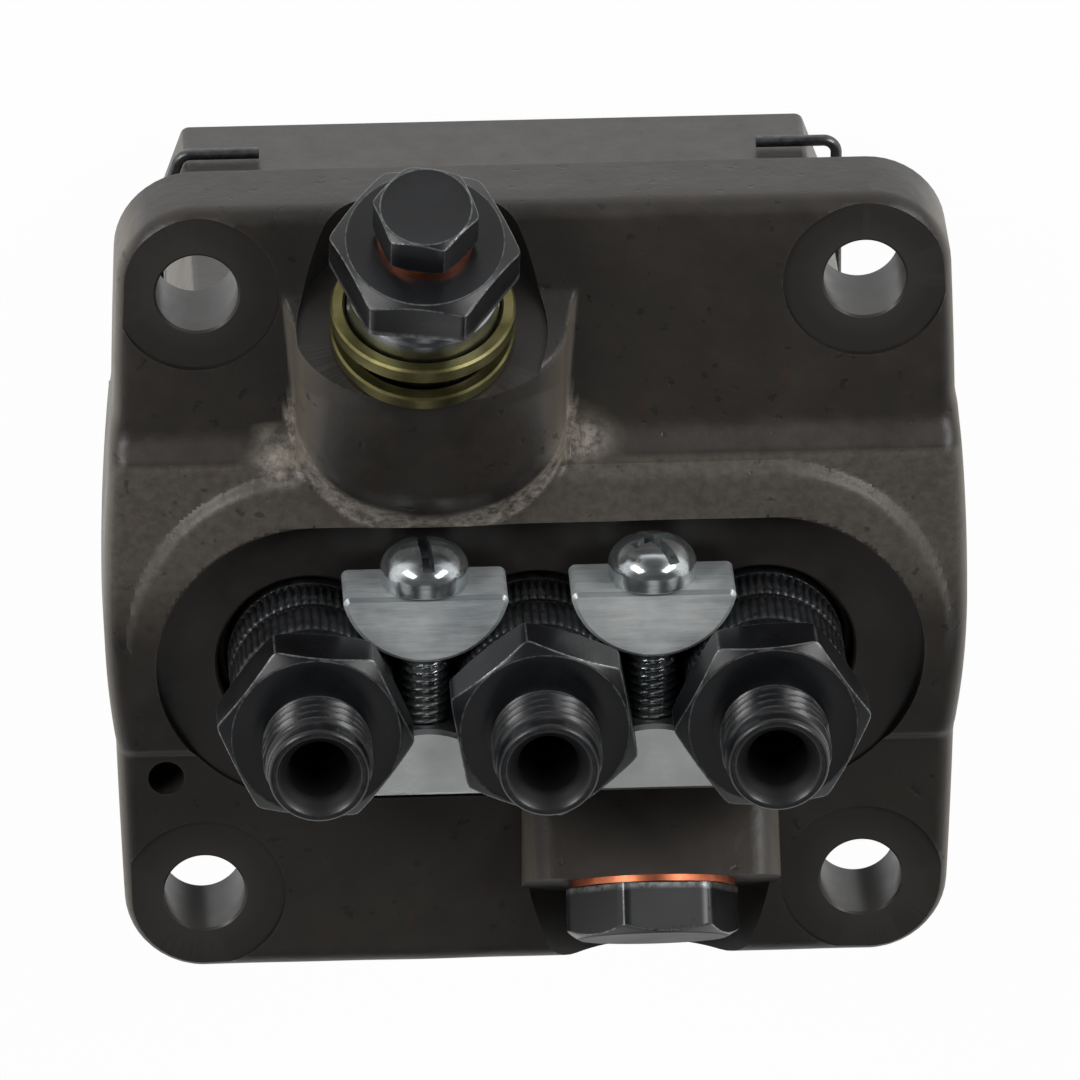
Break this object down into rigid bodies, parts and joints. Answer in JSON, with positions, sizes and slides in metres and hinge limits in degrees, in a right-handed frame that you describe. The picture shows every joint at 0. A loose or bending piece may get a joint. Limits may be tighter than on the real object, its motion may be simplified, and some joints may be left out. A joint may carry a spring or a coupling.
{
  "type": "diesel injection pump",
  "caption": "Flange-mounted in-line diesel injection pump: a row of plunger elements with roller tappets, control rack, clamped delivery valve holders, tilted fuel inlet with bleed screw.",
  "frame": {"origin": "centre of the square four-hole flange pattern, on the flange's underside, which seats on the engine", "axes": "+Z along the delivery valve holders, away from the engine; +X along the row of holders; +Y towards the tilted fuel inlet"},
  "size_m": [0.0952, 0.1019, 0.1231],
  "materials": {
    "cast_aluminium": "die cast, satin with a fine grain",
    "black_oxide_steel": "black oxide, worn bright on the edges",
    "bright_zinc_steel": "bright zinc plated",
    "yellow_zinc_washer": "yellow passivated zinc with a rubber lip",
    "copper": "annealed copper",
    "nitrile_rubber": "matt black",
    "spring_steel": "drawn wire, oiled",
    "lapped_steel": "lapped",
    "ground_steel": "ground",
    "turned_steel": "turned, oiled"
  },
  "bodies": {
    "housing": {"pump_housing": "cast_aluminium", "delivery_valve_holder_1": "black_oxide_steel", "delivery_valve_holder_2": "black_oxide_steel", "delivery_valve_holder_3": "black_oxide_steel", "inlet_union_bolt": "black_oxide_steel", "gallery_plug": "black_oxide_steel", "rack_guide_screw": "black_oxide_steel", "bleed_screw": "black_oxide_steel", "clamp_jaws_upper": "bright_zinc_steel", "clamp_jaws_lower": "bright_zinc_steel", "clamp_screws": "bright_zinc_steel", "inlet_washer_upper": "yellow_zinc_washer", "inlet_washer_lower": "yellow_zinc_washer", "bleed_washer": "copper", "gallery_plug_washer": "copper", "valve_seat_gaskets": "copper", "holder_orings": "nitrile_rubber", "plunger_spring_1": "spring_steel", "plunger_spring_2": "spring_steel", "plunger_spring_3": "spring_steel", "delivery_valve_spring_1": "spring_steel", "delivery_valve_spring_2": "spring_steel", "delivery_valve_spring_3": "spring_steel", "tappet_pin_clip": "spring_steel", "barrel_1": "lapped_steel", "barrel_2": "lapped_steel", "barrel_3": "lapped_steel", "delivery_valve_seat_1": "lapped_steel", "delivery_valve_seat_2": "lapped_steel", "delivery_valve_seat_3": "lapped_steel", "tappet_guide_pins": "ground_steel", "barrel_locating_pins": "ground_steel", "upper_spring_seats": "turned_steel", "gallery_end_plugs": "turned_steel"},
    "plunger_1": {"plunger_1": "lapped_steel"},
    "plunger_2": {"plunger_2": "lapped_steel"},
    "plunger_3": {"plunger_3": "lapped_steel"},
    "delivery_valve_1": {"delivery_valve_1": "lapped_steel"},
    "delivery_valve_2": {"delivery_valve_2": "lapped_steel"},
    "delivery_valve_3": {"delivery_valve_3": "lapped_steel"},
    "tappet_1": {"tappet_body_1": "ground_steel", "tappet_roller_pin_1": "ground_steel", "tappet_shim_1": "ground_steel", "lower_spring_seat_1": "turned_steel"},
    "tappet_2": {"tappet_body_2": "ground_steel", "tappet_roller_pin_2": "ground_steel", "tappet_shim_2": "ground_steel", "lower_spring_seat_2": "turned_steel"},
    "tappet_3": {"tappet_body_3": "ground_steel", "tappet_roller_pin_3": "ground_steel", "tappet_shim_3": "ground_steel", "lower_spring_seat_3": "turned_steel"},
    "roller_1": {"tappet_roller_1": "ground_steel"},
    "roller_2": {"tappet_roller_2": "ground_steel"},
    "roller_3": {"tappet_roller_3": "ground_steel"},
    "rack": {"control_rack": "turned_steel", "rack_link_pin": "turned_steel"},
    "sleeve_1": {"control_sleeve_1": "turned_steel"},
    "sleeve_2": {"control_sleeve_2": "turned_steel"},
    "sleeve_3": {"control_sleeve_3": "turned_steel"}
  },
  "joints": [
    {"name": "rack_slide", "type": "slide", "parent": "housing", "child": "rack", "axis": [1, 0, 0], "range_m": [-0.01, 0]},
    {"name": "sleeve_turn_1", "type": "hinge", "parent": "housing", "child": "sleeve_1", "pos_m": [-0.0246, -0.0082, -0.0282], "axis": [0, 0, 1], "range_deg": [-1.5, 67]},
    {"name": "tappet_lift_1", "type": "slide", "parent": "housing", "child": "tappet_1", "axis": [0, 0, 1], "range_m": [0, 0.008], "stiffness_N_per_m": 3000, "springref_m": -0.004, "deforming": ["plunger_spring_1"]},
    {"name": "plunger_lift_1", "type": "slide", "parent": "sleeve_1", "child": "plunger_1", "axis": [0, 0, 1], "range_m": [0, 0.008]},
    {"name": "roller_spin_1", "type": "hinge", "parent": "tappet_1", "child": "roller_1", "pos_m": [-0.0246, -0.0082, -0.0756], "axis": [1, 0, 0], "continuous": true},
    {"name": "delivery_valve_lift_1", "type": "slide", "parent": "housing", "child": "delivery_valve_1", "axis": [0, 0, 1], "range_m": [0, 0.003], "stiffness_N_per_m": 600, "springref_m": -0.003, "deforming": ["delivery_valve_spring_1"]},
    {"name": "sleeve_turn_2", "type": "hinge", "parent": "housing", "child": "sleeve_2", "pos_m": [0.0004, -0.0082, -0.0282], "axis": [0, 0, 1], "range_deg": [-1.5, 67]},
    {"name": "tappet_lift_2", "type": "slide", "parent": "housing", "child": "tappet_2", "axis": [0, 0, 1], "range_m": [0, 0.008], "stiffness_N_per_m": 3000, "springref_m": -0.004, "deforming": ["plunger_spring_2"]},
    {"name": "plunger_lift_2", "type": "slide", "parent": "sleeve_2", "child": "plunger_2", "axis": [0, 0, 1], "range_m": [0, 0.008]},
    {"name": "roller_spin_2", "type": "hinge", "parent": "tappet_2", "child": "roller_2", "pos_m": [0.0004, -0.0082, -0.0756], "axis": [1, 0, 0], "continuous": true},
    {"name": "delivery_valve_lift_2", "type": "slide", "parent": "housing", "child": "delivery_valve_2", "axis": [0, 0, 1], "range_m": [0, 0.003], "stiffness_N_per_m": 600, "springref_m": -0.003, "deforming": ["delivery_valve_spring_2"]},
    {"name": "sleeve_turn_3", "type": "hinge", "parent": "housing", "child": "sleeve_3", "pos_m": [0.0254, -0.0082, -0.0282], "axis": [0, 0, 1], "range_deg": [-1.5, 67]},
    {"name": "tappet_lift_3", "type": "slide", "parent": "housing", "child": "tappet_3", "axis": [0, 0, 1], "range_m": [0, 0.008], "stiffness_N_per_m": 3000, "springref_m": -0.004, "deforming": ["plunger_spring_3"]},
    {"name": "plunger_lift_3", "type": "slide", "parent": "sleeve_3", "child": "plunger_3", "axis": [0, 0, 1], "range_m": [0, 0.008]},
    {"name": "roller_spin_3", "type": "hinge", "parent": "tappet_3", "child": "roller_3", "pos_m": [0.0254, -0.0082, -0.0756], "axis": [1, 0, 0], "continuous": true},
    {"name": "delivery_valve_lift_3", "type": "slide", "parent": "housing", "child": "delivery_valve_3", "axis": [0, 0, 1], "range_m": [0, 0.003], "stiffness_N_per_m": 600, "springref_m": -0.003, "deforming": ["delivery_valve_spring_3"]}
  ],
  "couplings": [
    {"joint": "sleeve_turn_1", "follows": "rack_slide", "rad_per_m": -114.24},
    {"joint": "plunger_lift_1", "follows": "tappet_lift_1", "ratio": 1},
    {"joint": "sleeve_turn_2", "follows": "rack_slide", "rad_per_m": -114.24},
    {"joint": "plunger_lift_2", "follows": "tappet_lift_2", "ratio": 1},
    {"joint": "sleeve_turn_3", "follows": "rack_slide", "rad_per_m": -114.24},
    {"joint": "plunger_lift_3", "follows": "tappet_lift_3", "ratio": 1}
  ]
}
